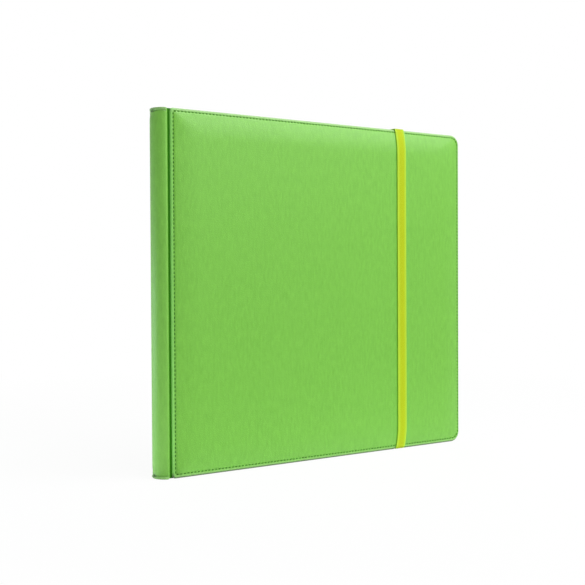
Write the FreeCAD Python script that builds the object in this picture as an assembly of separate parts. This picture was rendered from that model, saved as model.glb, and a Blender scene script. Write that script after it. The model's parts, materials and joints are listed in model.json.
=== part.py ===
import FreeCAD, Part
import math
import os

# Pocket album: a padded, sewn case with a rounded spine, turning pocket leaves and an elastic strap.
# Millimetres. X runs from the spine to the fore-edge, Y from the front cover to the back and Z up.
# The origin lies under the middle of the shut album, on the surface that the album stands on.
# Pieces are drawn with X = 0 on the two cover hinges and are moved to the origin when they are saved.

Vector = FreeCAD.Vector

# Pockets of one side of a leaf, for sleeved cards
columns = 4
rows = 3
pocket_width = 68.0
pocket_height = 93.0
weld_width = 2.0
slit_width = 1.0

# Leaves
leaf_count = 20
leaf_pitch = 0.84
sheet_thickness = 0.22
film_thickness = 0.12
root_margin = 26.0
rim_margin = 2.0
leaf_corner_radius = 4.0
crease_offset = 3.0
crease_gap = 0.3

# Covers, measured outwards from the inner face of the lining
head_overhang = 9.5
fore_overhang = 17.0
block_clearance = 0.45
lining_thickness = 0.6
lining_inset = 0.5
board_thickness = 2.0
board_inset = 6.0
skin_thickness = 1.0
edge_thickness = 2.6
edge_round = 1.5
crown_rise = 3.6
crown_run = 25.0
crown_sections = 5
corner_radius = 10.0
hinge_corner_radius = 3.0
least_radius = 0.5
corner_gain = 0.4
glue_line = 0.1

# Groove between spine and cover
hinge_clearance = 0.15
hinge_lap = 3.0
hinge_crease_radius = 0.3
strip_inset = 0.5

# Spine
spine_depth = 10.8
spine_board_thickness = 1.0
spine_board_inset = 2.0
binding_base = 1.0

# Sewing
stitch_inset = 2.6
thread_width = 0.6
thread_height = 0.48
channel_depth = 0.45
thread_clearance = 0.1

# Elastic strap
strap_width = 11.0
strap_thickness = 0.9
strap_setback = 79.7
strap_gap = 0.2
strap_side_gap = 0.3
strap_bend = 0.75
strap_land = 3.0
slot_inset = 10.0
slot_gap = 0.1
tail_length = 25.0

# Sizes that follow
leaf_thickness = sheet_thickness + 2 * film_thickness
column_pitch = pocket_width + weld_width
row_pitch = pocket_height + weld_width
grid_width = columns * column_pitch + weld_width
grid_height = rows * row_pitch + weld_width
leaf_width = root_margin + grid_width + rim_margin
leaf_height = grid_height + 2 * rim_margin
cover_height = leaf_height + 2 * head_overhang
panel_width = crease_offset + leaf_width + fore_overhang
stack_half = ((leaf_count - 1) * leaf_pitch + leaf_thickness) / 2
half_block = stack_half + block_clearance
hinge_y = half_block + lining_thickness
edge_y = half_block + edge_thickness
hinge_rise = edge_thickness - lining_thickness
half_gap = hinge_rise - (2 - math.sqrt(2)) * edge_round + hinge_clearance / math.sqrt(2)
x_hinge = (spine_depth - panel_width) / 2

# The crown of a padded cover is an arc that meets the flat field smoothly
field = edge_thickness + crown_rise
crown_radius = (crown_run**2 + crown_rise**2) / (2 * crown_rise)

# The spine is an arc through its two shoulders
spine_sag = spine_depth - half_gap
spine_radius = (edge_y**2 + spine_sag**2) / (2 * spine_sag)
spine_centre = spine_radius - spine_depth
lip_x = -half_gap - skin_thickness

strap_middle = panel_width - strap_setback
strap_offset = strap_gap + strap_thickness / 2
notch_depth = strap_thickness + 2 * strap_gap


def box(x, y, z):
    """A block between the two ends given for each axis."""
    low = Vector(min(x), min(y), min(z))
    sides = [max(ends) - min(ends) for ends in (x, y, z)]
    return Part.makeBox(sides[0], sides[1], sides[2], low)


def fuse(shapes):
    return shapes[0].multiFuse(shapes[1:]).removeSplitter()


def mirrored(shape):
    """The same piece on the other side of the album."""
    return shape.mirror(Vector(0, 0, 0), Vector(0, 1, 0))


def save(name, shape):
    placed = shape.copy()
    placed.translate(Vector(x_hinge, 0, 0))
    placed.exportStep("parts/" + name + ".step")


def outline(inset, height, far, near):
    """The front cover's rounded outline, drawn in by inset, at a height above the lining's inner face."""
    y = -(half_block + height)
    left, right = half_gap + inset, panel_width - inset
    low, high = inset, cover_height - inset
    corners = [
        (right, low, far, -1, 1),
        (right, high, far, -1, -1),
        (left, high, near, 1, -1),
        (left, low, near, 1, 1),
    ]
    arcs = []
    for index, (x, z, radius, inward_x, inward_z) in enumerate(corners):
        centre = Vector(x + inward_x * radius, y, z + inward_z * radius)
        on_side = centre - Vector(inward_x * radius, 0, 0)
        on_end = centre - Vector(0, 0, inward_z * radius)
        middle = centre - Vector(inward_x, 0, inward_z) * (radius / math.sqrt(2))
        ends = (on_end, on_side) if index % 2 == 0 else (on_side, on_end)
        arcs.append((ends[0], middle, ends[1]))
    edges = []
    for arc, following in zip(arcs, arcs[1:] + arcs[:1]):
        edges.append(Part.Arc(*arc).toShape())
        edges.append(Part.LineSegment(arc[2], following[0]).toShape())
    return Part.Wire(edges)


def ring(inset, height):
    """An outline whose corners stay parallel to the cover's edge."""
    far = max(corner_radius - inset, least_radius)
    near = max(hinge_corner_radius - inset, least_radius)
    return outline(inset, height, far, near)


def contour(inset, height):
    """An outline on the crown, where the corners grow rounder towards the field."""
    grown = corner_gain * (inset - edge_round) - edge_round
    far = max(corner_radius + grown, least_radius)
    near = max(hinge_corner_radius + grown, least_radius)
    return outline(inset, height, far, near)


def plate(wire, thickness):
    return Part.Face(wire).extrude(Vector(0, -thickness, 0))


def crown_height(inset, depth):
    """Height of the crown, or of the surface that lies depth below it."""
    return field - crown_radius + math.sqrt((crown_radius - depth) ** 2 - (crown_run - inset) ** 2)


def crown(start, depth):
    """A pillow from the outline at start up to the flat field."""
    step = (crown_run - start) / (crown_sections - 1)
    insets = [start + step * index for index in range(crown_sections)]
    return Part.makeLoft([contour(inset, crown_height(inset, depth)) for inset in insets], True, False)


def padded(inset, base, depth):
    """A pad with upright sides from base and a crowned top that lies depth below the skin's surface."""
    shoulder = crown_height(inset, depth)
    return fuse([plate(contour(inset, base), shoulder - base), crown(inset, depth)])


def cover_board():
    return plate(contour(board_inset + glue_line, lining_thickness), board_thickness)


def cover_padding():
    return padded(board_inset + glue_line, lining_thickness + board_thickness, skin_thickness + glue_line)


def strap_notch():
    """The dent that the strap presses into the tail edge of a cover."""
    half = strap_width / 2 + strap_side_gap
    across = strap_middle - half, strap_middle + half
    return box(across, (-half_block - field, -half_block), (0, notch_depth))


def channel_floor():
    return crown_height(stitch_inset, 0) - channel_depth


def stitch_loop(width, height):
    outer = plate(ring(stitch_inset - width / 2, channel_floor()), height)
    return outer.cut(plate(ring(stitch_inset + width / 2, channel_floor()), height))


def cover_skin():
    """Skin crowned over the padding, with a rounded edge, a sewing channel and the strap's dent."""
    corner = (1 - 1 / math.sqrt(2)) * edge_round
    rim = [
        ring(0, lining_thickness),
        ring(0, edge_thickness - edge_round),
        ring(corner, edge_thickness - corner),
        ring(edge_round, crown_height(edge_round, 0)),
    ]
    skin = fuse([Part.makeLoft(rim, True, True), crown(edge_round, 0)])
    skin = skin.cut(padded(board_inset, lining_thickness, skin_thickness))
    skin = skin.cut(stitch_loop(thread_width + 2 * thread_clearance, field))
    return skin.cut(strap_notch())


def cover_lining():
    lining = plate(ring(lining_inset, 0), lining_thickness)
    under_strip = box((0, half_gap + hinge_lap), (-hinge_y, -half_block), (0, cover_height))
    return lining.cut(under_strip).cut(strap_notch())


def hinge_strip():
    """Flexible strip across the groove, creased on the hinge line."""
    strip = box(
        (lip_x, half_gap + hinge_lap),
        (-hinge_y, -half_block),
        (strip_inset, cover_height - strip_inset),
    )
    return strip.cut(Part.makeCylinder(hinge_crease_radius, cover_height, Vector(0, -hinge_y, 0)))


def segment(radius, chord, low, high):
    """A prism between an arc about the spine's centre line and a flat chord that faces the leaves."""
    half = math.sqrt(radius**2 - (chord - spine_centre) ** 2)
    ends = Vector(chord, -half, low), Vector(chord, half, low)
    arc = Part.Arc(ends[0], Vector(spine_centre - radius, 0, low), ends[1]).toShape()
    face = Part.Face(Part.Wire([arc, Part.LineSegment(ends[1], ends[0]).toShape()]))
    return face.extrude(Vector(0, 0, high - low))


def spine_skin():
    """Skin drawn round the spine, with both long edges turned in towards the hinge strips."""
    body = segment(spine_radius, -half_gap, 0, cover_height)
    shoulders = [edge for edge in body.Edges if edge.BoundBox.ZLength > cover_height / 2]
    body = body.makeFillet(edge_round, shoulders)
    hollow = segment(spine_radius - skin_thickness, lip_x, 0, cover_height)
    mouth = box((lip_x, 0), (-hinge_y, hinge_y), (0, cover_height))
    return body.cut(hollow).cut(mouth)


def spine_layer(depth, thickness, inset):
    """A curved layer that lies depth inside the spine's surface."""
    low, high = inset, cover_height - inset
    outer = segment(spine_radius - depth, lip_x, low, high)
    return outer.cut(segment(spine_radius - depth - thickness, lip_x, low, high))


def leaf_y(index):
    return (index - (leaf_count - 1) / 2) * leaf_pitch


def leaf_plate(x, y, thickness, z):
    return box(x, (y - thickness / 2, y + thickness / 2), z)


def binding_block(depth):
    """Block in the hollow of the spine, with the fixed stub of every leaf."""
    low, high = head_overhang, head_overhang + leaf_height
    core = segment(spine_radius - depth, lip_x, low, high)
    base = box((lip_x, lip_x + binding_base), (-stack_half, stack_half), (low, high))
    reach = lip_x + binding_base, crease_offset - sheet_thickness / 2 - crease_gap
    stubs = [leaf_plate(reach, leaf_y(index), sheet_thickness, (low, high)) for index in range(leaf_count)]
    return fuse([core, base] + stubs)


def leaf_sheet(index):
    """Sheet of one leaf, with a half-round root on its crease."""
    y = leaf_y(index)
    reach = crease_offset, crease_offset + leaf_width
    sheet = leaf_plate(reach, y, sheet_thickness, (head_overhang, head_overhang + leaf_height))
    corners = [
        edge
        for edge in sheet.Edges
        if edge.BoundBox.XMin > panel_width / 2 and edge.BoundBox.YLength > sheet_thickness / 2
    ]
    root = Part.makeCylinder(sheet_thickness / 2, leaf_height, Vector(crease_offset, y, head_overhang))
    return fuse([sheet.makeFillet(leaf_corner_radius, corners), root])


def leaf_pockets(index):
    """Clear strips on both faces of a sheet, one for each column, with an open slit on the spine side."""
    first = crease_offset + root_margin
    z = head_overhang + rim_margin, head_overhang + leaf_height - rim_margin
    strips = []
    for side in (-1, 1):
        y = leaf_y(index) + side * (sheet_thickness + film_thickness) / 2
        for column in range(columns):
            start = first + column * column_pitch
            end = start + column_pitch
            strips.append(leaf_plate((start + slit_width, end), y, film_thickness, z))
    return Part.makeCompound(strips)


def unit(vector):
    return vector * (1 / vector.Length)


def left_of(direction):
    """The direction a quarter turn to the left, in the plane of Y and Z."""
    return Vector(0, -direction.z, direction.y)


def offset_run(points, radii, offset):
    """Lines and tangent arcs along a path with rounded corners, to one side of it."""
    edges = []
    start = points[0] + left_of(unit(points[1] - points[0])) * offset
    for before, corner, after, radius in zip(points, points[1:], points[2:], radii):
        arriving = unit(corner - before)
        leaving = unit(after - corner)
        half_turn = arriving.getAngle(leaving) / 2
        reach = radius * math.tan(half_turn)
        bend_start = corner - arriving * reach + left_of(arriving) * offset
        bend_end = corner + leaving * reach + left_of(leaving) * offset
        inward = unit(leaving - arriving)
        centre = corner + inward * (radius / math.cos(half_turn))
        bend_middle = centre - inward * (bend_start - centre).Length
        edges.append(Part.LineSegment(start, bend_start).toShape())
        edges.append(Part.Arc(bend_start, bend_middle, bend_end).toShape())
        start = bend_end
    end = points[-1] + left_of(unit(points[-1] - points[-2])) * offset
    edges.append(Part.LineSegment(start, end).toShape())
    return edges


def strap_band():
    """Band over the front cover and round the head and tail edges to the slots in the back cover."""
    arc_radius = crown_radius + strap_offset
    lean = math.asin((crown_run - strap_land) / arc_radius)
    bend_inset = crown_run - arc_radius * math.tan(lean / 2)
    face_y = half_block + field + strap_offset

    def edge_point(side, inset, z):
        return Vector(0, side * (face_y - (bend_inset - inset) * math.tan(lean)), z)

    head = cover_height + strap_offset
    tail = notch_depth - strap_offset
    points = [
        Vector(0, face_y, cover_height - crown_run - strap_land),
        Vector(0, face_y, cover_height - bend_inset),
        edge_point(1, -strap_offset, head),
        edge_point(-1, -strap_offset, head),
        Vector(0, -face_y, cover_height - bend_inset),
        Vector(0, -face_y, bend_inset),
        edge_point(-1, tail, tail),
        edge_point(1, tail, tail),
        Vector(0, face_y, bend_inset),
        Vector(0, face_y, crown_run + strap_land),
    ]
    radii = [arc_radius, strap_bend, strap_bend, arc_radius] * 2
    outer = offset_run(points, radii, strap_thickness / 2)
    inner = offset_run(points, radii, -strap_thickness / 2)
    caps = [
        Part.LineSegment(outer[0].Vertexes[0].Point, inner[0].Vertexes[0].Point).toShape(),
        Part.LineSegment(outer[-1].Vertexes[-1].Point, inner[-1].Vertexes[-1].Point).toShape(),
    ]
    edges = outer + inner + caps
    face = Part.Face(Part.Wire(Part.sortEdges(edges)[0]))
    face.translate(Vector(strap_middle - strap_width / 2, 0, 0))
    band = face.extrude(Vector(strap_width, 0, 0))
    behind = box(
        (strap_middle - strap_width, strap_middle + strap_width),
        (0, 2 * face_y),
        (slot_inset, cover_height - slot_inset),
    )
    return band.cut(behind)


def strap_tail(gap):
    """End of the strap at the head, through the back cover and flat under the lining. A gap makes its cut."""
    x = strap_middle - strap_width / 2 - gap, strap_middle + strap_width / 2 + gap
    top = cover_height - slot_inset
    base = half_block + lining_thickness
    rise = half_block + crown_height(slot_inset, -strap_gap - strap_thickness)
    through = box(x, (base, rise), (top - strap_thickness - gap, top + gap))
    end = top - strap_thickness - tail_length
    flat = box(x, (base, base + strap_thickness + gap), (end - gap, top + gap))
    return fuse([through, flat])


def at_tail(shape):
    """The same piece at the other end of the album's height."""
    return shape.mirror(Vector(0, 0, cover_height / 2), Vector(0, 0, 1))


def save_covers():
    pieces = {
        "cover_skin": cover_skin(),
        "padding": cover_padding(),
        "board": cover_board(),
        "lining": cover_lining(),
        "seam_thread": stitch_loop(thread_width, thread_height),
        "hinge_strip": hinge_strip(),
    }
    slot = strap_tail(slot_gap)
    slots = Part.makeCompound([slot, at_tail(slot)])
    for name, piece in pieces.items():
        save("front_" + name, piece)
        back = mirrored(piece)
        if name in ("cover_skin", "padding", "board"):
            back = back.cut(slots)
        save("back_" + name, back)


def save_spine():
    board_depth = skin_thickness + glue_line
    lining_depth = board_depth + spine_board_thickness + glue_line
    save("spine_skin", spine_skin())
    save("spine_board", spine_layer(board_depth, spine_board_thickness, spine_board_inset))
    save("spine_lining", spine_layer(lining_depth, lining_thickness, lining_inset))
    save("binding_block", binding_block(lining_depth + lining_thickness + glue_line))


def save_leaves():
    for index in range(leaf_count):
        name = f"leaf_{index + 1:02d}"
        save(name + "_sheet", leaf_sheet(index))
        save(name + "_pockets", leaf_pockets(index))


def save_strap():
    tail = strap_tail(0)
    save("strap_band", strap_band())
    save("strap_tail_head", tail)
    save("strap_tail_foot", at_tail(tail))


os.makedirs("parts", exist_ok=True)
save_covers()
save_spine()
save_leaves()
save_strap()
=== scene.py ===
import json
import math

import bmesh
import bpy
import numpy as np
from mathutils import Matrix, Vector, noise


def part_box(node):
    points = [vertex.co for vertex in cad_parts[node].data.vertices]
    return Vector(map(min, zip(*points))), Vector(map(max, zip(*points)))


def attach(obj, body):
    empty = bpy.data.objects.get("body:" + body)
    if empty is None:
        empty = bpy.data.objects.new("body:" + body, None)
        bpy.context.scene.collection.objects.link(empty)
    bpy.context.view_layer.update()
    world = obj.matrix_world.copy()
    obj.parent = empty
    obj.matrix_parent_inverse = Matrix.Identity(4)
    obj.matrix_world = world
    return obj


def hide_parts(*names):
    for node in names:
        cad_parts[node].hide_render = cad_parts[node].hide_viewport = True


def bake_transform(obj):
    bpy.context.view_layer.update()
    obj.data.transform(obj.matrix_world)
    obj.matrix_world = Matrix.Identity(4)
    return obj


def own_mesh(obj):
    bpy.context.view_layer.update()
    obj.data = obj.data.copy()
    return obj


# Looks of the pocket album. Metres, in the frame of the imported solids: X from the spine to the fore-edge,
# Y from the front cover to the back cover, Z up.

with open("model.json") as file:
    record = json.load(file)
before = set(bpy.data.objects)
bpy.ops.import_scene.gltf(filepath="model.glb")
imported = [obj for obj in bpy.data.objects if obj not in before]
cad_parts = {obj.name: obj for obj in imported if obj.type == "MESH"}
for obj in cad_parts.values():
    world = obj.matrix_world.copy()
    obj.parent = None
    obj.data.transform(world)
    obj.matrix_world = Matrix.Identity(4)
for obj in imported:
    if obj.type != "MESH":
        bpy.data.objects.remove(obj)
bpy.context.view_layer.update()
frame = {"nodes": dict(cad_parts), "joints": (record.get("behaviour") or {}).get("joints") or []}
MM = 0.001

# Places that the frame gives
skin_low, skin_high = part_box("front_cover_skin")
lining_low, lining_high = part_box("front_lining")
board_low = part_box("front_board")[0]
spine_low, spine_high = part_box("spine_skin")
strip_low, strip_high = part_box("front_hinge_strip")
strap_low, strap_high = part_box("strap_band")
tail_low, tail_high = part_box("strap_tail_head")
joint_places = {joint["name"]: joint["pos_m"] for joint in frame["joints"]}
hinge_x = joint_places["front_hinge"][0]
block_y = -lining_high.y
inner_y = -skin_high.y
field_rise = -skin_low.y - block_y
lining_rise = inner_y - block_y
head_z = skin_high.z
strap_x = (strap_low.x + strap_high.x) / 2
strap_width = strap_high.x - strap_low.x

# Covers, with rises measured outwards from the lining's inner face
corner_radius = 10 * MM
hinge_corner_radius = 3 * MM
least_radius = 0.5 * MM
corner_gain = 0.4
edge_rise = 2.6 * MM
edge_round = 1.5 * MM
crown_run = 25 * MM
skin_thickness = 1.0 * MM
rim_width = 6.0 * MM
rim_chamfer = 0.2 * MM
glue_line = 0.1 * MM
crown_gain = field_rise - edge_rise
crown_radius = (crown_run**2 + crown_gain**2) / (2 * crown_gain)
wave_rise = 0.1 * MM
wave_length = 34 * MM
# Dark cut edge, full at the tail where it is painted contact shade, weaker at the fore-edge and head
fore_edge_dark = 0.6
head_edge_dark = 0.3
dark_edge_start = 0.9 * MM
dark_edge_end = 1.7 * MM
# Painted highlight on the rim: full out from this inset, fading in towards the seam
highlight_start = 1.6 * MM
# Share of the painted highlight on the hinge fold kept past the rounded edge
inner_hinge_highlight = 0.4

# Sewing
stitch_inset = 2.9 * MM
hinge_stitch_inset = 2.5 * MM
tail_stitch_inset = 3.7 * MM
head_stitch_inset = 2.7 * MM
stitch_pitch = 3.4 * MM
stitch_share = 0.6
thread_radius = 0.48 * MM
valley_depth = 0.4 * MM
valley_width = 0.8 * MM
needle_depth = 0.2 * MM
needle_width = 0.4 * MM
needle_spread = 0.25
cells_per_stitch = 4

# Strap
strap_thickness = 0.9 * MM
strap_gap = 0.2 * MM
strap_bend = 0.8 * MM
strap_ribs = 9
cord_count = 2 * strap_ribs
rib_rise = 0.05 * MM
edge_softness = 0.8
pick_pitch = 0.9 * MM
selvedge_start = 0.22 * strap_width
selvedge_end = 0.42 * strap_width
path_step = 2 * MM
slot_inset = 10 * MM
slot_depth = 1.6 * strap_bend
slot_clearance = 1.2 * strap_bend
dent_depth = 1.3 * MM
dent_shoulder = 1.2 * MM
dent_reach = 3 * MM

# Spine
spine_turn = 0.7 * MM
hem_trim = 0.8
tuck_inset = 2.6 * MM
tuck_width = 0.5 * MM
tuck_depth = 0.45 * MM
pucker_depth = 0.9 * MM
head_pucker_turn = math.radians(-9)
tail_pucker_turn = math.radians(-3)
pucker_width = math.radians(10)
pucker_height = 1.1 * MM
tuck_shade = 0.3
tuck_shade_width = 1.5 * tuck_width
pucker_shade = 1.4
# Painted highlight on the spine's hem, full from here out to each end
hem_highlight_start = 0.6 * tuck_inset
# A darker band at the spine's head; a thin painted shadow line at its tail
spine_head_dark = 0.4
spine_head_dark_start = 0.4 * tuck_inset
spine_head_dark_end = 0.8 * tuck_inset
tail_line_start = 0.1 * MM
tail_line_end = 0.5 * MM
waist_inset = 5.5 * MM
waist_length = 2.8 * MM
waist_depth = 0.4 * MM
flare_inset = 1.6 * MM
flare_length = 1.0 * MM
flare_rise = 0.5 * MM
flare_width = math.radians(55)
shoulder_start = math.radians(108)
shoulder_end = math.radians(135)
# Painted highlight: the whole spine a little paler, and its shoulders beside the grooves paler still
spine_sheen = 0.12
shoulder_highlight = 0.55

# Leaves
leaf_count = 20
columns = 4
rows = 3
weld_width = 2 * MM
slit_width = 1 * MM
sheet_thickness = 0.22 * MM
film_thickness = 0.12 * MM
film_gap = 0.01 * MM
film_bulge = 0.07 * MM
leaf_corner = 4 * MM
crease_reach = 1.6 * MM


class Shell:
    """Points and faces of one piece, gathered ring by ring."""

    def __init__(self):
        self.points = []
        self.faces = []
        self.marks = {}

    def ring(self, points):
        first = len(self.points)
        self.points.extend(tuple(p) for p in points)
        return list(range(first, len(self.points)))

    def bridge(self, a, b):
        count = len(a)
        for i in range(count):
            j = (i + 1) % count
            self.faces.append((a[i], a[j], b[j], b[i]))

    def gather(self, fine, coarse):
        """Triangles from a fine ring to one with fewer points."""
        step = len(fine) // len(coarse)
        for i in range(len(coarse)):
            j = (i + 1) % len(coarse)
            run = [fine[(i * step + k) % len(fine)] for k in range(step + 1)]
            half = step // 2
            for k in range(step):
                self.faces.append((run[k], run[k + 1], coarse[i if k < half else j]))
            self.faces.append((run[half], coarse[j], coarse[i]))

    def cap(self, ring):
        self.faces.append(tuple(ring))

    def rings(self, sections):
        """A row of rings, each joined to the one before."""
        made = [self.ring(section) for section in sections]
        for a, b in zip(made, made[1:]):
            self.bridge(a, b)
        return made

    def tube(self, sections):
        """Rings with both ends closed."""
        made = self.rings(sections)
        self.cap(made[0])
        self.cap(made[-1])

    def object(self, name, *materials, smooth_angle=50):
        mesh = bpy.data.meshes.new(name)
        mesh.from_pydata(self.points, [], self.faces)
        for material in materials:
            mesh.materials.append(material)
        work = bmesh.new()
        work.from_mesh(mesh)
        bmesh.ops.recalc_face_normals(work, faces=work.faces)
        work.to_mesh(mesh)
        work.free()
        for label, values in self.marks.items():
            attribute = mesh.attributes.new(label, "FLOAT", "POINT")
            attribute.data.foreach_set("value", np.asarray(values, np.float32))
        mesh.shade_smooth()
        mesh.set_sharp_from_angle(angle=math.radians(smooth_angle))
        made = bpy.data.objects.new(name, mesh)
        bpy.context.scene.collection.objects.link(made)
        return made


def smooth(low, high, value):
    """0 up to low, 1 from high on, and an even curve between."""
    t = np.clip((value - low) / (high - low), 0, 1)
    return t * t * (3 - 2 * t)


# Materials


class Nodes:
    """Adds nodes to a shader tree."""

    def __init__(self, tree):
        self.tree = tree

    def node(self, kind, inputs=None, **settings):
        made = self.tree.nodes.new(kind)
        for key, value in settings.items():
            setattr(made, key, value)
        for key, value in (inputs or {}).items():
            if isinstance(value, bpy.types.NodeSocket):
                self.tree.links.new(value, made.inputs[key])
            else:
                made.inputs[key].default_value = value
        return made

    def math(self, operation, a, b=0.0):
        return self.node("ShaderNodeMath", {0: a, 1: b}, operation=operation).outputs[0]

    def span(self, value, low, high, to_low=0.0, to_high=1.0):
        inputs = {0: value, 1: low, 2: high, 3: to_low, 4: to_high}
        return self.node("ShaderNodeMapRange", inputs).outputs[0]


class Look(Nodes):
    """A material whose shader is fed by texture nodes."""

    def __init__(self, name, color, roughness, specular):
        self.material = bpy.data.materials.new(name)
        self.material.use_nodes = True
        super().__init__(self.material.node_tree)
        self.shader = self.tree.nodes["Principled BSDF"]
        even = {"Base Color": (*color, 1), "Roughness": roughness, "Specular IOR Level": specular}
        for label, value in even.items():
            self.shader.inputs[label].default_value = value
        self.place = self.node("ShaderNodeTexCoord").outputs["Object"]

    def fed(self, color, rough, normal):
        """The material, once its shader is fed. Without rough its roughness stays even."""
        for label, value in {"Base Color": color, "Roughness": rough, "Normal": normal}.items():
            if value is not None:
                self.tree.links.new(value, self.shader.inputs[label])
        return self.material

    def stretched(self, *scale):
        return self.node("ShaderNodeMapping", {"Vector": self.place, "Scale": scale}).outputs[0]

    def noise(self, place, scale, detail):
        inputs = {"Vector": place, "Scale": scale, "Detail": detail}
        return self.node("ShaderNodeTexNoise", inputs).outputs["Fac"]

    def cells(self, place, scale):
        inputs = {"Vector": place, "Scale": scale}
        return self.node("ShaderNodeTexVoronoi", inputs, feature="DISTANCE_TO_EDGE").outputs["Distance"]

    def bands(self, scale, distortion, direction="DIAGONAL"):
        inputs = {"Vector": self.place, "Scale": scale, "Distortion": distortion, "Detail": 1.0}
        return self.node("ShaderNodeTexWave", inputs, bands_direction=direction).outputs["Fac"]

    def attribute(self, name):
        return self.node("ShaderNodeAttribute", attribute_name=name).outputs["Fac"]

    def mix(self, share, a, b):
        a, b = ((*value, 1) if isinstance(value, tuple) else value for value in (a, b))
        return self.node("ShaderNodeMix", {0: share, 6: a, 7: b}, data_type="RGBA").outputs[2]

    def bump(self, height, distance, strength, under=None):
        inputs = {"Height": height, "Distance": distance, "Strength": strength}
        if under is not None:
            inputs["Normal"] = under
        return self.node("ShaderNodeBump", inputs).outputs[0]


def leather():
    """Bright green imitation leather with a fine upright grain. Where a mesh is marked, its colour carries
    painted highlights, a dark cut edge that is partly painted shade, and painted shade in creases.
    """
    look = Look("green_leather", (0.17, 0.5, 0.045), 0.45, 0.62)
    upright = look.stretched(1, 1, 0.62)
    pebbles = look.span(look.cells(upright, 900), 0.0, 0.35)
    fine = look.noise(upright, 2600, 4)
    streaks = look.noise(look.stretched(1, 1, 0.24), 480, 3)
    patches = look.noise(look.place, 16, 2)
    color = look.mix(look.span(streaks, 0.3, 0.7), (0.134, 0.428, 0.023), (0.172, 0.506, 0.037))
    color = look.mix(look.span(patches, 0.35, 0.7, 0.0, 0.4), color, (0.16, 0.479, 0.034))
    color = look.mix(look.span(pebbles, 0.0, 0.45, 0.3, 0.0), color, (0.1, 0.33, 0.018))
    marks = {
        # Painted highlight: paler rims at head and tail, and paler spine shoulders and hem
        "painted_highlight": (0.75, (0.34, 0.64, 0.2)),
        # Painted highlight on the fold beside the hinge, which lies in the groove's shade
        "hinge_highlight": (0.75, (0.3, 0.76, 0.17)),
        # Dark cut edge, with painted contact shade at the tail; on the spine, a darker head band and a
        # painted shadow line at the tail
        "dark_edge_and_shade": (0.9, (0.075, 0.14, 0.045)),
        # Painted shade in the spine's tuck line and pucker
        "crease": (0.95, (0.02, 0.085, 0.01)),
    }
    for label, (most, shade) in marks.items():
        color = look.mix(look.span(look.attribute(label), 0.0, 1.0, 0.0, most), color, shade)
    rough = look.span(fine, 0.25, 0.75, 0.38, 0.54)
    relief = look.bump(streaks, 0.05 * MM, 0.5, look.bump(fine, 0.03 * MM, 0.5))
    return look.fed(color, rough, look.bump(pebbles, 0.12 * MM, 0.55, relief))


def thread():
    """Dark green sewing thread of two twisted plies."""
    look = Look("green_thread", (0.075, 0.26, 0.025), 0.7, 0.25)
    plies = look.bands(620.0, 1.5)
    color = look.mix(plies, (0.042, 0.16, 0.015), (0.075, 0.26, 0.026))
    return look.fed(color, None, look.bump(plies, 0.08 * MM, 0.7))


def elastic():
    """Lime-yellow woven elastic, with a greener selvedge along both edges."""
    look = Look("lime_elastic", (0.58, 0.66, 0.02), 0.65, 0.2)
    across = look.node("ShaderNodeSeparateXYZ", {0: look.place}).outputs[0]
    offset = look.math("ABSOLUTE", look.math("SUBTRACT", across, strap_x))
    selvedge = look.span(offset, selvedge_start, selvedge_end)
    along = look.attribute("along")
    picks = look.math("SINE", look.math("MULTIPLY", along, 2 * math.pi / pick_pitch))
    cords = look.math("SINE", look.math("MULTIPLY", across, 2 * math.pi * cord_count / strap_width))
    weave = look.math("MULTIPLY", picks, cords)
    fuzz = look.noise(look.place, 1800, 4)
    core = look.mix(look.span(weave, -1, 1), (0.376, 0.46, 0.002), (0.478, 0.602, 0.004))
    color = look.mix(selvedge, core, (0.43, 0.67, 0.04))
    color = look.mix(look.span(fuzz, 0.35, 0.7, 0.0, 0.25), color, (0.54, 0.67, 0.04))
    rough = look.span(fuzz, 0.3, 0.7, 0.58, 0.75)
    relief = look.bump(fuzz, 0.04 * MM, 0.5)
    return look.fed(color, rough, look.bump(weave, 0.05 * MM, 0.7, relief))


def cloth(name, dark, light, weave_scale):
    """A close plain weave."""
    look = Look(name, dark, 0.8, 0.25)
    threads = [look.bands(weave_scale, 0.6, direction) for direction in ("X", "Z")]
    weave = look.math("MULTIPLY", *threads)
    dust = look.noise(look.place, 240, 4)
    color = look.mix(look.span(dust, 0.4, 0.8, 0.0, 0.3), look.mix(weave, dark, light), light)
    rough = look.span(dust, 0.3, 0.7, 0.7, 0.88)
    return look.fed(color, rough, look.bump(weave, 0.08 * MM, 0.6))


def grainy(name, color, roughness, speck_scale, speck, relief, specular=0.4):
    """A moulded or pressed surface with a fine even grain."""
    look = Look(name, color, roughness, specular)
    specks = look.noise(look.place, speck_scale, 4)
    broad = look.noise(look.place, speck_scale / 20, 3)
    tone = look.mix(look.span(specks, 0.35, 0.65, 0.0, 0.6), color, speck)
    tone = look.mix(look.span(broad, 0.4, 0.7, 0.0, 0.35), tone, speck)
    rough = look.span(broad, 0.3, 0.7, roughness - 0.06, roughness + 0.08)
    return look.fed(tone, rough, look.bump(specks, relief, 0.6))


def groove():
    """The cover material pressed down into the groove: pale like the painted highlight on the spine beside
    it, and painted dark further in as shade.
    """
    look = Look("hinge_cloth", (0.03, 0.19, 0.004), 0.7, 0.12)
    specks = look.noise(look.place, 1200, 4)
    # Painted shade: these dark greens stand in for the shade deep in the groove
    dark = look.mix(look.span(specks, 0.35, 0.65), (0.022, 0.165, 0.002), (0.036, 0.22, 0.004))
    pale = look.mix(look.span(specks, 0.35, 0.65), (0.26, 0.6, 0.09), (0.3, 0.66, 0.11))
    color = look.mix(look.attribute("spine_side"), dark, pale)
    rough = look.span(specks, 0.3, 0.7, 0.62, 0.78)
    return look.fed(color, rough, look.bump(specks, 0.06 * MM, 0.6))


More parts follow.
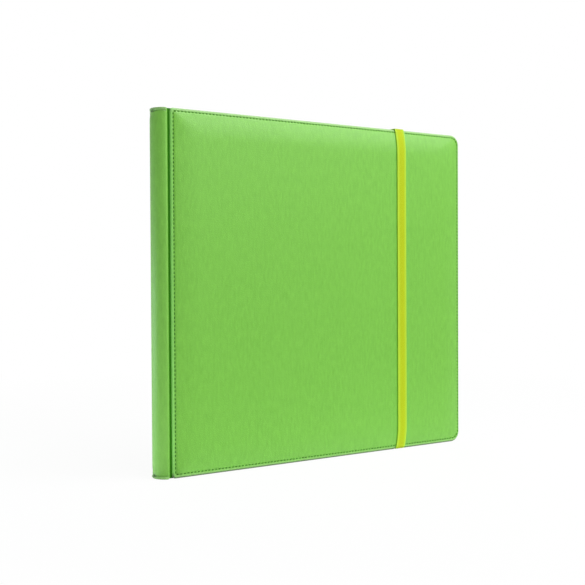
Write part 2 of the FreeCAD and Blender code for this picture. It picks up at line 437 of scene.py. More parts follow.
def film():
    """Clear glossy pocket film with a soft haze, dark from the black sheet behind it."""
    look = Look("clear_film", (0.05, 0.052, 0.054), 0.3, 0.5)
    look.shader.inputs["Alpha"].default_value = 0.7
    haze = look.noise(look.place, 60, 3)
    grain = look.noise(look.place, 1500, 3)
    color = look.mix(haze, (0.045, 0.047, 0.049), (0.055, 0.057, 0.059))
    rough = look.span(haze, 0.3, 0.7, 0.27, 0.33)
    return look.fed(color, rough, look.bump(grain, 0.004 * MM, 0.2))


def weld():
    """Film melted onto its sheet, hazy and finely ribbed."""
    look = Look("welded_film", (0.18, 0.187, 0.194), 0.4, 0.5)
    look.shader.inputs["Alpha"].default_value = 0.8
    ribs = look.bands(400.0, 0.4)
    color = look.mix(ribs, (0.15, 0.157, 0.164), (0.22, 0.228, 0.236))
    rough = look.span(ribs, 0.2, 0.8, 0.3, 0.5)
    return look.fed(color, rough, look.bump(ribs, 0.03 * MM, 0.6))


green_leather = leather()
green_thread = thread()
lime_elastic = elastic()
hinge_cloth = groove()
lining_cloth = cloth("lining_cloth", (0.012, 0.012, 0.013), (0.035, 0.035, 0.037), 420)
foam = grainy("foam", (0.6, 0.6, 0.58), 0.9, 700, (0.48, 0.48, 0.46), 0.2 * MM, 0.2)
cardboard = grainy("cardboard", (0.36, 0.3, 0.23), 0.9, 500, (0.25, 0.2, 0.15), 0.1 * MM, 0.2)
black_plastic = grainy("black_plastic", (0.018, 0.018, 0.019), 0.42, 900, (0.03, 0.03, 0.031), 0.03 * MM)
leaf_plastic = grainy("leaf_plastic", (0.014, 0.014, 0.015), 0.5, 1400, (0.026, 0.026, 0.028), 0.03 * MM)
clear_film = film()
welded_film = weld()


# Covers


def rounded_outline(low, high, near, far, counts):
    """Points of a rounded rectangle in X and Z, each side running from one corner's middle to the next."""
    middles = [
        (np.array((low[0] + near, low[1] + near)), near),
        (np.array((high[0] - far, low[1] + far)), far),
        (np.array((high[0] - far, high[1] - far)), far),
        (np.array((low[0] + near, high[1] - near)), near),
    ]
    points = []
    for side in range(4):
        turn = side * math.pi / 2
        along = np.array((math.cos(turn), math.sin(turn)))
        outward = np.array((math.sin(turn), -math.cos(turn)))
        (start, start_radius), (end, end_radius) = middles[side], middles[(side + 1) % 4]
        first = start + start_radius * outward
        straight = float((end - start) @ along)
        arc_in, arc_out = start_radius * math.pi / 4, end_radius * math.pi / 4
        count = counts[side % 2]
        for step in range(count):
            way = (arc_in + straight + arc_out) * step / count
            if way < arc_in:
                angle = way / start_radius - math.pi / 4
                points.append(start + start_radius * (math.sin(angle) * along + math.cos(angle) * outward))
            elif way < arc_in + straight:
                points.append(first + (way - arc_in) * along)
            else:
                angle = (way - arc_in - straight) / end_radius
                points.append(end + end_radius * (math.sin(angle) * along + math.cos(angle) * outward))
    return np.array(points)


def cover_outline(inset, counts):
    """The cover's outline drawn in by inset: parallel at the rim, rounder towards the field."""
    if inset <= edge_round:
        grown = -inset
    else:
        grown = corner_gain * (inset - edge_round) - edge_round
    near = max(hinge_corner_radius + grown, least_radius)
    far = max(corner_radius + grown, least_radius)
    low = skin_low.x + inset, skin_low.z + inset
    high = skin_high.x - inset, skin_high.z - inset
    return rounded_outline(low, high, near, far, counts)


def seam_outline(counts):
    """The line of the stitches, parallel to the cover's edge."""
    low = skin_low.x + hinge_stitch_inset, skin_low.z + tail_stitch_inset
    high = skin_high.x - stitch_inset, skin_high.z - head_stitch_inset
    near = max(hinge_corner_radius - stitch_inset, least_radius)
    return rounded_outline(low, high, near, corner_radius - stitch_inset, counts)


def crown_rise(inset, depth=0.0):
    """Rise of the crowned skin, or of the surface that lies depth below it."""
    reach = crown_run - min(inset, crown_run)
    return field_rise - crown_radius + math.sqrt((crown_radius - depth) ** 2 - reach**2)


def rim_rise(inset):
    """Rise of the skin's outer face, rounded over towards its edge."""
    if inset >= edge_round:
        return crown_rise(inset)
    fall = 1 - math.sqrt(1 - (1 - inset / edge_round) ** 2)
    return crown_rise(inset) - edge_round * fall


def bell(value, middle, width):
    """1 at the middle, falling to nearly 0 two widths away."""
    return np.exp(-(((value - middle) / width) ** 2))


def edge_distances(outline):
    """Distances from the hinge, fore, tail and head edges."""
    x, z = outline[:, 0], outline[:, 1]
    return np.stack([x - skin_low.x, skin_high.x - x, z - skin_low.z, skin_high.z - z])


def seam_inset(outline):
    """How far in the seam runs beside each point, changing gently round the corners."""
    away = edge_distances(outline)
    weight = np.exp((away.min(axis=0) - away) / stitch_inset)
    insets = np.array((hinge_stitch_inset, stitch_inset, tail_stitch_inset, head_stitch_inset))
    return insets @ weight / weight.sum(axis=0)


def seam_sink(inset, outline):
    """How far the stitches draw the skin down, point by point along a ring."""
    phase = np.arange(len(outline)) % cells_per_stitch
    needle = np.where(phase == 0, 1.0, 0.0) + np.where(phase % 2 == 1, needle_spread, 0.0)
    seam = seam_inset(outline)
    valley = valley_depth * bell(inset, seam, valley_width)
    return valley + needle * needle_depth * bell(inset, seam, needle_width)


def strap_share(x):
    """1 under the strap, falling to 0 beside it."""
    half = strap_width / 2
    return 1 - smooth(half, half + dent_shoulder, np.abs(x - strap_x))


def dented(x, z):
    """Height of a point after the strap has pressed into the soft tail edge."""
    return z + dent_depth * strap_share(x) * np.exp(-z / dent_reach)


def wave(x, z, seed):
    """Gentle unevenness of the padded field, with none under the strap and at the edges."""
    away = np.minimum.reduce([x - skin_low.x, skin_high.x - x, z, head_z - z])
    share = smooth(stitch_inset * 2, crown_run, away) * (1 - strap_share(x))
    lift = [noise.noise(Vector((a / wave_length, b / wave_length, seed))) for a, b in zip(x, z)]
    return wave_rise * share * np.array(lift)


def on_cover(side, outline, rise, seed=None):
    """Points of a cover: side is -1 for the front, 1 for the back; rise is one value or one for each."""
    x, z = outline[:, 0], outline[:, 1]
    lift = np.broadcast_to(rise, x.shape)
    if seed is not None:
        lift = lift + wave(x, z, seed)
    return np.stack([x, side * (block_y + lift), dented(x, z)], axis=1)


def stitch_counts():
    """Stitches along the tail and along the fore-edge."""
    width = skin_high.x - skin_low.x - 2 * stitch_inset
    height = skin_high.z - skin_low.z - 2 * stitch_inset
    return round(width / stitch_pitch), round(height / stitch_pitch)


def skin_insets():
    """Where the rings of the outer face lie: close at the rounded edge and the seam, wider up the crown."""
    widening = 1.5
    turn = edge_round * (1 - np.cos(np.linspace(0, math.pi / 2, num=7)))
    seam_end = 2 * stitch_inset - edge_round
    seam = np.linspace(edge_round, seam_end, num=9)[1:]
    crown = seam_end + (crown_run - seam_end) * np.linspace(0, 1, num=11)[1:] ** widening
    return [*turn, *seam, *crown]


def core_grid(shell, ring, counts, side, rise, seed=None):
    """The flat field inside the last ring, as a grid drawn between its four sides."""
    across, up = counts
    points = np.array([shell.points[i] for i in ring])[:, [0, 2]]
    sides = np.split(points, np.cumsum([across, up, across]))
    closing = [np.vstack([sides[i], sides[(i + 1) % 4][:1]]) for i in range(4)]
    tail, fore = closing[0], closing[1]
    head, hinge = closing[2][::-1], closing[3][::-1]
    index = np.empty((up + 1, across + 1), int)
    index[0, :] = ring[: across + 1]
    index[:, across] = ring[across : across + up + 1]
    index[up, ::-1] = ring[across + up : 2 * across + up + 1]
    index[::-1, 0] = ring[2 * across + up :] + ring[:1]
    for row in range(1, up):
        v = row / up
        u = np.linspace(0, 1, across + 1)[1:-1, None]
        ends = (1 - v) * ((1 - u) * tail[0] + u * tail[-1]) + v * ((1 - u) * head[0] + u * head[-1])
        inner = (1 - v) * tail[1:-1] + v * head[1:-1] + (1 - u) * hinge[row] + u * fore[row] - ends
        index[row, 1:across] = shell.ring(on_cover(side, inner, rise, seed))
    for row in range(up):
        for column in range(across):
            lower, upper = index[row : row + 2, column : column + 2]
            shell.faces.append(tuple(int(i) for i in (*lower, *upper[::-1])))


def near_edge(distance):
    """1 at an edge of the cover, 0 past the seam."""
    return 1 - smooth(edge_round, 2 * stitch_inset, distance)


def skin_marks(outline, inset):
    """Shares of the dark cut edge with painted contact shade at the tail, the painted highlight on the rim at
    head and tail, and the painted highlight on the fold beside the hinge.
    """
    away = edge_distances(outline)
    hinge, fore, tail, head = near_edge(away)
    beside_head = away[3] <= inset + least_radius
    # Dark cut edge, partly painted shade
    reach = np.where(beside_head, head_stitch_inset, dark_edge_end)
    edge_dark = 1 - smooth(dark_edge_start, reach, inset)
    outside = 1 - smooth(highlight_start, seam_inset(outline), inset)
    # Painted highlight on the fold beside the hinge
    hinge_lit = 1 - (1 - inner_hinge_highlight) * smooth(edge_round / 2, edge_round, inset)
    return {
        "dark_edge_and_shade": edge_dark * np.maximum.reduce([tail, fore_edge_dark * fore, head_edge_dark * head]),
        "painted_highlight": outside * np.maximum(tail, head),
        "hinge_highlight": outside * hinge_lit * hinge,
    }


def crown_rings(side, start, depth, counts, steps):
    """Rings that climb the crown from start to the field, depth below the skin's outer face."""
    insets = [start + (crown_run - start) * step / steps for step in range(steps + 1)]
    return [on_cover(side, cover_outline(inset, counts), crown_rise(inset, depth)) for inset in insets]


def cover_skin(name, side, seed):
    """The padded skin: crowned face, sewn rim, cut edge, and the hollow for board and foam."""
    stitches = stitch_counts()
    fine = tuple(cells_per_stitch * count for count in stitches)
    shell = Shell()
    rings = []
    for inset in skin_insets():
        outline = cover_outline(inset, fine)
        rise = rim_rise(inset) - seam_sink(inset, outline)
        rings.append(shell.ring(on_cover(side, outline, rise, seed)))
        for label, shares in skin_marks(outline, inset).items():
            shell.marks.setdefault(label, []).extend(shares)
    for a, b in zip(rings, rings[1:]):
        shell.bridge(a, b)
    field = shell.ring(on_cover(side, cover_outline(crown_run + stitch_pitch, stitches), field_rise, seed))
    shell.gather(rings[-1], field)
    core_grid(shell, field, stitches, side, field_rise, seed)
    edge = cover_outline(0, fine)
    wall = shell.ring(on_cover(side, edge, lining_rise + rim_chamfer))
    under = shell.ring(on_cover(side, cover_outline(rim_chamfer, fine), lining_rise))
    shell.bridge(rings[0], wall)
    shell.bridge(wall, under)
    flange = shell.ring(on_cover(side, cover_outline(rim_width, stitches), lining_rise))
    shell.gather(under, flange)
    inside = shell.rings(crown_rings(side, rim_width, skin_thickness, stitches, steps=5))
    shell.bridge(flange, inside[0])
    core_grid(shell, inside[-1], stitches, side, crown_rise(crown_run, skin_thickness))
    for label, shares in skin_marks(edge, 0).items():
        marks = shell.marks[label]
        marks.extend([0.0] * (len(shell.points) - len(marks)))
        for i, share in zip(wall + under, np.tile(shares, 2)):
            marks[i] = share
    return shell.object(name, green_leather, smooth_angle=60)


def cover_foam(name, side):
    """The foam sheet between board and skin, with the same crown."""
    counts = tuple(count // 2 for count in stitch_counts())
    depth = skin_thickness + glue_line
    base = -board_low.y - block_y
    start = rim_width + glue_line
    shell = Shell()
    sections = [on_cover(side, cover_outline(start, counts), base)]
    sections += crown_rings(side, start, depth, counts, steps=6)
    shell.tube(sections)
    return shell.object(name, foam)


def cover_stitches(name, side):
    """One thread loop for each stitch, from needle hole to needle hole."""
    counts = tuple(cells_per_stitch * count for count in stitch_counts())
    line = seam_outline(counts)
    total = len(line)
    bases = [rim_rise(inset) - valley_depth for inset in seam_inset(line)]
    shell = Shell()
    sections, sides = 7, 8
    angles = 2 * math.pi * np.arange(sides) / sides
    blunt, thinnest = 0.06, 0.45
    arch, sunk = 1.15, 0.75
    for first in range(0, total, cells_per_stitch):
        loops = []
        for section in range(sections):
            t = section / (sections - 1)
            way = first + cells_per_stitch * (0.5 + stitch_share * (t - 0.5))
            i, part = int(way), way - int(way)
            here, there = line[i % total], line[(i + 1) % total]
            middle = here * (1 - part) + there * part
            along = (there - here) / np.linalg.norm(there - here)
            aside = np.array((-along[1], along[0]))
            swell = math.sin(math.pi * min(max(t, blunt), 1 - blunt)) ** 0.5
            radius = thread_radius * (thinnest + (1 - thinnest) * swell)
            lift = bases[i % total] + thread_radius * (arch * swell - sunk)
            loop = middle + np.outer(radius * np.cos(angles), aside)
            loops.append(on_cover(side, loop, lift + radius * np.sin(angles)))
        shell.tube(loops)
    return shell.object(name, green_thread)


def cover_lining(name, side):
    """Lining cloth glued over the inside of a cover, with softly rounded edges."""
    counts = tuple(count // 2 for count in stitch_counts())
    soft = 0.2 * MM
    radius = corner_radius - (skin_high.x - lining_high.x)
    shell = Shell()

    def outline(inset):
        low = lining_low.x + inset, lining_low.z + inset
        high = lining_high.x - inset, lining_high.z - inset
        return rounded_outline(low, high, least_radius, radius - inset, counts)

    steps = ((soft, 0), (soft / 4, soft / 4), (0, soft), (0, lining_rise))
    shell.tube([on_cover(side, outline(inset), rise) for inset, rise in steps])
    return shell.object(name, lining_cloth)


def cut_slots(skin):
    """Slots for the two ends of the strap, cut through the back cover's skin."""
    cutters = []
    for node in ("strap_tail_head", "strap_tail_foot"):
        low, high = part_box(node)
        middle = high.z - strap_thickness / 2 if node.endswith("head") else low.z + strap_thickness / 2
        depth = 2 * (high.y - low.y)
        size = Vector((strap_width + 2 * glue_line, depth, strap_thickness + 2 * glue_line))
        place = Matrix.LocRotScale(Vector((strap_x, high.y, middle)), None, size)
        work = bmesh.new()
        bmesh.ops.create_cube(work, size=1, matrix=place)
        mesh = bpy.data.meshes.new("slot_cutter")
        work.to_mesh(mesh)
        work.free()
        cutter = bpy.data.objects.new("slot_cutter", mesh)
        bpy.context.scene.collection.objects.link(cutter)
        modifier = skin.modifiers.new("slot", "BOOLEAN")
        modifier.operation = "DIFFERENCE"
        modifier.solver = "EXACT"
        modifier.object = cutter
        cutters.append(cutter)
    evaluated = skin.evaluated_get(bpy.context.evaluated_depsgraph_get())
    cut = bpy.data.meshes.new_from_object(evaluated)
    skin.modifiers.clear()
    skin.data = cut
    for cutter in cutters:
        bpy.data.objects.remove(cutter)


def hinge_gutter(name, side):
    """Flexible strip at the bottom of the groove: leathery outside, lining cloth inside."""
    cells, lengths = 26, 12
    crease, crease_width = 0.12 * MM, 0.5 * MM
    soft = 0.1 * MM
    pale_reach = 0.9 * MM
    facing_in = -0.5
    outer, inner = -strip_low.y, -strip_high.y
    xs = np.linspace(strip_low.x + soft, strip_high.x - soft, cells + 1)
    dip = crease * bell(xs, hinge_x, crease_width)
    top = [(x, outer - d) for x, d in zip(xs, dip)]
    ends = [(strip_high.x, outer - soft), (strip_high.x, inner + soft)]
    back = [(x, inner) for x in xs[::-1]]
    starts = [(strip_low.x, inner + soft), (strip_low.x, outer - soft)]
    profile = top + ends + back + starts
    shell = Shell()
    heights = np.linspace(strip_low.z, strip_high.z, lengths + 1)
    shell.tube([[(x, side * y, z) for x, y in profile] for z in heights])
    # 1 on the pale spine side, falling to 0 where the groove is painted dark as shade
    spine_side = [1 - smooth(hinge_x - pale_reach, hinge_x - pale_reach / 2, x) for x, _ in profile]
    shell.marks["spine_side"] = spine_side * len(heights)
    made = shell.object(name, hinge_cloth, lining_cloth, smooth_angle=40)
    for face in made.data.polygons:
        if face.normal.y * side < facing_in:
            face.material_index = 1
    return made


def dress(piece, node, body=None):
    """Put a piece in the place of a solid and the body that carries it."""
    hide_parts(node)
    if body:
        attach(piece, body)


def make_cover(label, side, seed):
    """All pieces of one cover, and the strip that joins it to the spine."""
    body = label + "_cover"
    skin = cover_skin(label + "_cover_leather", side, seed)
    if label == "back":
        cut_slots(skin)
    dress(skin, label + "_cover_skin", body)
    pad = cover_foam(label + "_cover_foam", side)
    dress(pad, label + "_padding", body)
    dress(cover_stitches(label + "_stitches", side), label + "_seam_thread", body)
    dress(cover_lining(label + "_lining_cloth", side), label + "_lining", body)
    gutter = hinge_gutter(label + "_hinge_gutter", side)
    dress(gutter, label + "_hinge_strip")
    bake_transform(gutter)


# Spine


def spine_arc():
    """Radius of the spine's round back and the X of its centre line."""
    sag = spine_high.x - spine_low.x
    half = block_y + edge_rise
    radius = (half**2 + sag**2) / (2 * sag)
    return radius, spine_low.x + radius


def arc(x, y, radius, turns):
    """Points in X and Y round a centre, each with its angle from straight back."""
    return [(x - radius * math.cos(turn), y + radius * math.sin(turn), turn) for turn in turns]


def spine_profile():
    """Closed section of the spine's skin: points in X and Y, outward directions, angle round the back."""
    radius, centre = spine_arc()
    nose_x = spine_high.x - edge_round
    nose_y = math.sqrt((radius - edge_round) ** 2 - (nose_x - centre) ** 2)
    nose_turn = math.atan2(nose_y, centre - nose_x)
    outer = arc(centre, 0, radius, np.linspace(-nose_turn, nose_turn, num=97))
    nose = arc(nose_x, nose_y, edge_round, np.linspace(nose_turn, math.pi, num=11)[1:])
    under_nose = [(x, -y, -turn) for x, y, turn in reversed(nose)]
    face = under_nose + outer + nose
    inside = radius - skin_thickness
    lip_x = spine_high.x - skin_thickness
    lip_turn = math.acos((centre - lip_x) / inside)
    inner = arc(centre, 0, inside, np.linspace(lip_turn, -lip_turn, num=31))
    lip = [(spine_high.x, inner_y), (lip_x, inner_y)]
    other_lip = [(x, -y) for x, y in reversed(lip)]
    points = [spot[:2] for spot in face] + lip + [spot[:2] for spot in inner] + other_lip
    turns = np.array([turn for _, _, turn in face])
    return np.array(points), np.stack([-np.cos(turns), np.sin(turns)], axis=1), turns


def spine_stations():
    """Heights of the spine's sections: close at the tucked ends, wide between."""
    near = np.linspace(0, 2 * waist_inset, num=46)
    far = np.linspace(2 * waist_inset, head_z / 2, num=34)[1:]
    half = np.concatenate([near, far])
    return np.concatenate([half, head_z - half[-2::-1]])


def pucker_share(z, turns):
    """1 where the skin is drawn in most, at the crest near each end."""
    return bell(turns, tail_pucker_turn if z < head_z / 2 else head_pucker_turn, pucker_width)


def spine_sink(z, turns):
    """How far the skin lies inside the round back: a sewn-down line near each end, puckered at the crest."""
    end = min(z, head_z - z)
    rounding = 0.0
    if end < spine_turn:
        rounding = spine_turn * (1 - math.sqrt(1 - (1 - end / spine_turn) ** 2))
    pucker = pucker_depth * pucker_share(z, turns)
    tuck = (tuck_depth + pucker) * bell(end, tuck_inset, tuck_width)
    waist = waist_depth * bell(end, waist_inset, waist_length) * bell(turns, 0, flare_width)
    flare = flare_rise * bell(z, flare_inset, flare_length) * bell(turns, 0, flare_width)
    return rounding + tuck + waist - flare


def end_darkening(z):
    """How dark the spine's turned-in end is: a darker band at the head, a thin painted shadow line at the
    tail.
    """
    head = spine_head_dark * (1 - smooth(spine_head_dark_start, spine_head_dark_end, head_z - z))
    tail = 1 - smooth(tail_line_start, tail_line_end, z)
    return max(head, tail)


def spine_leather():
    """The skin with its tucked ends and turned-in hem, its colour marked with painted shade in the tuck and
    pucker, darker ends, and painted highlights on the shoulders and hem.
    """
    points, directions, turns = spine_profile()
    count = len(turns)
    inside = [0.0] * (len(points) - count)
    shoulders = np.zeros(len(points))
    # Painted highlight on the shoulders beside the grooves, where they lie in shade, over a slight painted
    # sheen on the whole spine
    lit_shoulders = shoulder_highlight * smooth(shoulder_start, shoulder_end, np.abs(turns))
    shoulders[:count] = np.maximum(spine_sheen, lit_shoulders)
    sections, crease, darkening, highlight = [], [], [], []
    for z in spine_stations():
        end = min(z, head_z - z)
        sink = spine_sink(z, turns)
        section = points.copy()
        section[:count] -= directions * sink[:, None]
        trim = hem_trim * (1 - smooth(0, 2 * spine_turn, end))
        for nose, hem, back in ((count - 1, count, count + 1), (0, -1, -2)):
            section[[hem, back], 1] += trim * (section[nose, 1] - section[hem, 1])
            section[hem, 0] -= sink[nose]
        sections.append([(x, y, z) for x, y in section])
        # Painted shade along the tuck line and in the pucker at the crest
        line = tuck_shade * bell(end, tuck_inset, tuck_shade_width)
        pucker = pucker_shade * bell(end, tuck_inset, pucker_height) * pucker_share(z, turns)
        crease += list(np.minimum(line + pucker, 1)) + inside
        # Darker ends: a band at the head, a painted shadow line at the tail
        darkening += [end_darkening(z)] * count + inside
        # Painted highlight on the shoulders and at the hem
        highlight += list(np.maximum(shoulders, 1 - smooth(hem_highlight_start, tuck_inset, end)))
    shell = Shell()
    shell.tube(sections)
    shell.marks = {"crease": crease, "dark_edge_and_shade": darkening, "painted_highlight": highlight}
    return shell.object("spine_leather", green_leather, smooth_angle=60)


def make_spine():
    """The spine's skin and the lining cloth inside it."""
    dress(spine_leather(), "spine_skin", "spine")
    low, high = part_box("spine_lining")
    radius = spine_arc()[1] - low.x
    heights = np.linspace(low.z, high.z, num=9)
    facing = Shell()
    facing.tube([arc_band(radius, lining_rise, high.x, z) for z in heights])
    dress(facing.object("spine_lining_cloth", lining_cloth), "spine_lining", "spine")


def arc_band(radius, thickness, chord, z):
    """Section of a layer bent round the spine's centre line."""
    centre = spine_arc()[1]
    rim = []
    for size, order in ((radius, 1), (radius - thickness, -1)):
        limit = order * math.acos((centre - chord) / size)
        rim += [(x, y, z) for x, y, _ in arc(centre, 0, size, np.linspace(-limit, limit, num=33))]
    return rim


# Strap


def band_section():
    """Cross-section of the woven band: offsets across and through, with ribs on both faces."""
    half, thick = strap_width / 2, strap_thickness / 2
    steps_per_rib, edge_steps = 6, 6
    steps = strap_ribs * steps_per_rib
    soft = thick * edge_softness
    face = []
    for step in range(steps + 1):
        across = (half - soft) * (2 * step / steps - 1)
        rib = rib_rise * math.cos(2 * math.pi * strap_ribs * step / steps)
        face.append((across, thick - rib_rise + rib))
    edge = []
    for step in range(1, edge_steps):
        turn = math.pi * step / edge_steps
        edge.append((half - soft + soft * math.sin(turn), (thick - rib_rise) * math.cos(turn)))
    upper = face + edge
    return upper + [(-a, -t) for a, t in upper]


def make_band(name, path):
    """A band swept along a path in Y and Z."""
    path = np.array(path)
    legs = np.linalg.norm(np.diff(path, axis=0), axis=1)
    way = np.concatenate([[0], np.cumsum(legs)])
    ahead = np.gradient(path, way, axis=0)
    ahead /= np.linalg.norm(ahead, axis=1)[:, None]
    outline = band_section()
    shell = Shell()
    sections = []
    along = []
    for (y, z), (dy, dz), distance in zip(path, ahead, way):
        sections.append([(strap_x + a, y - t * dz, z + t * dy) for a, t in outline])
        along += [distance] * len(outline)
    shell.tube(sections)
    shell.marks["along"] = along
    return shell.object(name, lime_elastic)


def quarter(centre, radius, start):
    """Points of a quarter turn in Y and Z, turning clockwise seen from the fore-edge."""
    steps = 8
    turns = [start - math.pi / 2 * step / steps for step in range(steps + 1)]
    return [(centre[0] + radius * math.cos(t), centre[1] + radius * math.sin(t)) for t in turns]


def strap_path():
    """Middle line of the band: from the foot slot round the tail, up the front, over the head to its slot."""
    half = strap_thickness / 2
    lift = strap_gap + half
    turn = strap_bend
    tail, head = strap_low.z + half, strap_high.z - half
    low, high = tail + turn, head - turn
    back = block_y + crown_rise(0) + lift - turn
    front = -back
    head_slot = head_z - slot_inset

    def face(side, z):
        inset = max(min(z, head_z - z), 0)
        return side * (block_y + crown_rise(inset) + lift), z

    mouth = face(1, slot_inset)[0]
    path = [(mouth - slot_depth, slot_inset + half)]
    path += quarter((mouth - turn, slot_inset + half - turn), turn, math.pi / 2)
    path += [face(1, z) for z in np.arange(slot_inset - slot_clearance, low, -path_step)]
    path += quarter((back, low), turn, 0)
    path += [(y, tail) for y in np.arange(back - path_step, front, -path_step)]
    path += quarter((front, low), turn, -math.pi / 2)
    path += [face(-1, z) for z in np.arange(low + path_step, high, path_step)]
    path += quarter((front, high), turn, math.pi)
    path += [(y, head) for y in np.arange(front + path_step, back, path_step)]
    path += quarter((back, high), turn, math.pi / 2)
    path += [face(1, z) for z in np.arange(high - path_step, head_slot + turn, -path_step)]
    path += quarter((mouth - turn, head_slot + turn - half), turn, 0)
    path += [(mouth - slot_depth, head_slot - half)]
    return path


def tail_path(mirrored):
    """An end of the strap: flat under the lining, then out through its slot."""
    flat = tail_low.y + strap_thickness / 2
    top = tail_high.z - strap_thickness / 2
    turn = strap_bend
    path = [(flat, z) for z in np.arange(tail_low.z, top - turn, path_step)]
    path += quarter((flat + turn, top - turn), turn, math.pi)
    path += [(y, top) for y in np.arange(flat + turn + MM, tail_high.y - strap_thickness, MM)]
    return [(y, head_z - z) for y, z in path] if mirrored else path


def make_strap():
    """The band, carried by the back cover, and its two ends."""
    band = make_band("strap_elastic", strap_path())
    dress(band, "strap_band", "back_cover")
    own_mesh(band)
    for node, mirrored in (("strap_tail_head", False), ("strap_tail_foot", True)):
        dress(make_band(node + "_elastic", tail_path(mirrored)), node, "back_cover")


# Leaves


def leaf_sheet(name, low, high, middle):
    """One black sheet with rounded fore corners, finely divided where it bends at its crease."""
    half = sheet_thickness / 2
    turn_steps = 6
    root, bend_end = low.x - crease_reach / 4, low.x + 2 * crease_reach
    bend = np.linspace(root, bend_end, num=14)
    flat = np.linspace(bend_end, high.x - leaf_corner, num=12)[1:]
    turns = [math.pi / 2 * step / turn_steps for step in range(1, turn_steps + 1)]
    round_x = [high.x - leaf_corner + leaf_corner * math.sin(t) for t in turns]
    trims = [0.0] * (len(bend) + len(flat)) + [leaf_corner * (1 - math.cos(t)) for t in turns]
    shell = Shell()
    sections = []
    for x, trim in zip([*bend, *flat, *round_x], trims):
        heights = np.linspace(low.z + trim, high.z - trim, num=7)
        front = [(x, middle - half, z) for z in heights]
        sections.append(front + [(x, middle + half, z) for z in heights[::-1]])
    shell.tube(sections)
    return shell.object(name, leaf_plastic, smooth_angle=30)


def pocket_heights(low, high):
    """Stations up a film strip, with the share of bulge at each: none on a weld, full inside a pocket."""
    pitch = (high - low - weld_width) / rows
    fullness = 0.4
    shares = [0, 0.01, 0.04, 0.12, 0.25, 0.42, 0.58, 0.75, 0.88, 0.96, 0.99, 1]
    stations = [(low, 0.0)]
    for row in range(rows):
        start = low + weld_width + row * pitch
        inner = pitch - weld_width
        stations += [(start + inner * share, math.sin(math.pi * share) ** fullness) for share in shares]
    stations.append((high, 0.0))
    return stations


def mark_welds(pockets, low, high, column_pitch):
    """Give the welds of a leaf's film, between rows and at the far side of each column, their own look."""
    mesh = pockets.data
    mesh.materials.append(welded_film)
    centres = np.empty(3 * len(mesh.polygons))
    mesh.polygons.foreach_get("center", centres)
    x, _, z = centres.reshape(-1, 3).T
    row_pitch = (high.z - low.z - weld_width) / rows
    between_rows = (z - low.z) % row_pitch < weld_width
    beside_slit = (x - low.x) % column_pitch > column_pitch - slit_width - weld_width
    mesh.polygons.foreach_set("material_index", (between_rows | beside_slit).astype(np.int32))


def film_strip(shell, start, end, base, outward, stations):
    """One column of pockets on one face: welded at its far side, open at its spine side."""
    steps = 7
    xs = [start + (end - weld_width - start) * (step / steps) for step in range(steps + 1)] + [end]
    shares = [0.5 + 0.5 * math.sin(math.pi * step / steps) ** 0.5 for step in range(steps)] + [0.0, 0.0]
    sections = []
    for z, bulge in stations:
        rises = [film_thickness + film_bulge * bulge * share for share in shares]
        outer = [(x, base + outward * rise, z) for x, rise in zip(xs, rises)]
        inner = [(x, base + outward * film_gap, z) for x in reversed(xs)]
        sections.append(outer + inner)
    shell.tube(sections)


def make_leaves():
    """Twenty sheets that bend at their creases, each with pockets on both faces."""
    for index in range(leaf_count):
        label = f"leaf_{index + 1:02d}"
        low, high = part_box(label + "_sheet")
        middle = (low.y + high.y) / 2
        sheet = leaf_sheet(label + "_plastic", low, high, middle)
        dress(sheet, label + "_sheet")
        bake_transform(sheet)
        film_low, film_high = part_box(label + "_pockets")
        stations = pocket_heights(film_low.z, film_high.z)
        pitch = (film_high.x - film_low.x + slit_width) / columns
        shell = Shell()
        for outward in (-1, 1):
            for column in range(columns):
                start = film_low.x + column * pitch
                base = middle + outward * sheet_thickness / 2
                film_strip(shell, start, start + pitch - slit_width, base, outward, stations)
        pockets = shell.object(label + "_film", clear_film, smooth_angle=30)
        mark_welds(pockets, film_low, film_high, pitch)
        dress(pockets, label + "_pockets", label)


# Inner stiff pieces that keep their solids


def finish_solids():
    """Materials for the boards and the binding block."""
    looks = dict.fromkeys(("front_board", "back_board", "spine_board"), cardboard)
    looks["binding_block"] = black_plastic
    for node, look in looks.items():
        mesh = frame["nodes"][node].data
        mesh.materials.clear()
        mesh.materials.append(look)


# Studio


def light(name, place, aim, size, power, color=(1, 1, 1)):
    """A soft rectangular light that the camera doesn't see."""
    lamp = bpy.data.lights.new(name, "AREA")
    lamp.shape = "RECTANGLE"
    lamp.size, lamp.size_y = size
    lamp.energy = power
    lamp.color = color
    made = bpy.data.objects.new(name, lamp)
    made.location = place
    made.rotation_euler = (Vector(aim) - Vector(place)).to_track_quat("-Z", "Y").to_euler()
    made.visible_camera = False
    bpy.context.scene.collection.objects.link(made)


def seen_directly(nodes):
    """1 for rays from the camera and for mirrored or refracted ones, 0 for rays that carry light."""
    path = nodes.node("ShaderNodeLightPath")
    share = path.outputs["Is Camera Ray"]
    for label in ("Is Glossy Ray", "Is Transmission Ray"):
        share = nodes.math("MAXIMUM", share, path.outputs[label])
    return share


def make_surroundings():
    """A world that looks white but gives only a weak light."""
    white, ambient_strength = (1, 1, 1, 1), 0.22
    world = bpy.data.worlds.new("studio")
    bpy.context.scene.world = world
    world.use_nodes = True
    nodes = Nodes(world.node_tree)
    shown = nodes.tree.nodes["Background"]
    shown.inputs["Color"].default_value = white
    ambient = nodes.node("ShaderNodeBackground", {"Color": white, "Strength": ambient_strength})
    inputs = {0: seen_directly(nodes), 1: ambient.outputs[0], 2: shown.outputs[0]}
    mixed = nodes.node("ShaderNodeMixShader", inputs)
    nodes.tree.links.new(mixed.outputs[0], nodes.tree.nodes["World Output"].inputs["Surface"])


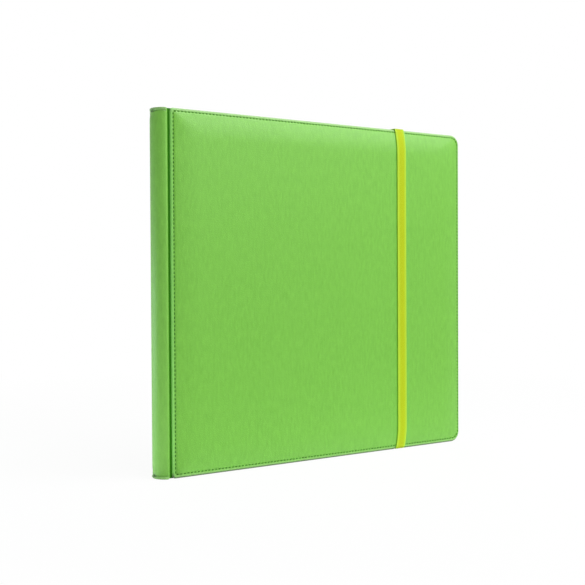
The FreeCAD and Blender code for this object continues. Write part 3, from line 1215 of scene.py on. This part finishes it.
def make_floor():
    """A white floor that keeps a faint shadow close to the album."""
    span = 6.0
    shadow_start, shadow_end, glow_share = 0.3, 0.9, 0.94
    paper = bpy.data.materials.new("white_floor")
    paper.use_nodes = True
    nodes = Nodes(paper.node_tree)
    nodes.tree.nodes.clear()
    matte = nodes.node("ShaderNodeBsdfDiffuse", {"Color": (0.92, 0.92, 0.92, 1)})
    glow = nodes.node("ShaderNodeEmission")
    place = nodes.node("ShaderNodeTexCoord").outputs["Object"]
    distance = nodes.node("ShaderNodeVectorMath", {0: place}, operation="LENGTH").outputs["Value"]
    fade = nodes.span(distance, shadow_start, shadow_end, glow_share, 1.0)
    share = nodes.math("MULTIPLY", seen_directly(nodes), fade)
    mixed = nodes.node("ShaderNodeMixShader", {0: share, 1: matte.outputs[0], 2: glow.outputs[0]})
    nodes.node("ShaderNodeOutputMaterial", {"Surface": mixed.outputs[0]})
    shell = Shell()
    shell.cap(shell.ring([(-span, -span, 0), (span, -span, 0), (span, span, 0), (-span, span, 0)]))
    shell.object("floor", paper)


def make_studio():
    """Surroundings, floor and soft lights, of which two lie on the floor like pale cards."""
    bpy.context.scene.view_settings.view_transform = "Standard"
    make_surroundings()
    make_floor()
    light("key", (0.94, -1.12, 1.05), (0.05, 0, 0.2), (0.8, 0.3), 10.5)
    light("front", (0.02, -1.25, 0.6), (-0.1, 0, 0.28), (0.5, 0.25), 1.3)
    light("overhead", (0.18, -0.35, 1.05), (0.05, 0, 0.15), (1.0, 0.5), 7.5)
    light("front_card", (0.3, -0.07, 0.002), (0.3, -0.07, 1), (0.9, 0.13), 0.15)
    light("side_card", (-0.25, -0.05, 0.002), (-0.25, -0.05, 1), (0.15, 0.4), 0.13)
    light("fill", (-0.5, 0.25, 0.09), (-0.16, 0, 0.04), (0.35, 0.16), 0.66, (0.8, 1, 1))
    light("back", (0.6, 1.3, 0.9), (0, 0, 0.15), (1.2, 0.8), 6)


def make_camera():
    """Camera of the photograph: about level with the album's middle, to the left of the front cover."""
    focal_pixels, image_pixels = 1010.8, 585
    data = bpy.data.cameras.new("camera")
    data.sensor_width = 36
    data.lens = data.sensor_width * focal_pixels / image_pixels
    data.clip_start = 0.01
    camera = bpy.data.objects.new("camera", data)
    camera.location = (-0.5559, -0.7602, 0.1716)
    pitch, roll, yaw = 1.09, 0.296, 34.789
    camera.rotation_euler = (math.radians(90 - pitch), math.radians(roll), math.radians(-yaw))
    bpy.context.scene.collection.objects.link(camera)
    bpy.context.scene.camera = camera


make_cover("front", -1, 3.1)
make_cover("back", 1, 7.7)
make_spine()
make_strap()
make_leaves()
finish_solids()
make_studio()
make_camera()

bpy.context.view_layer.update()
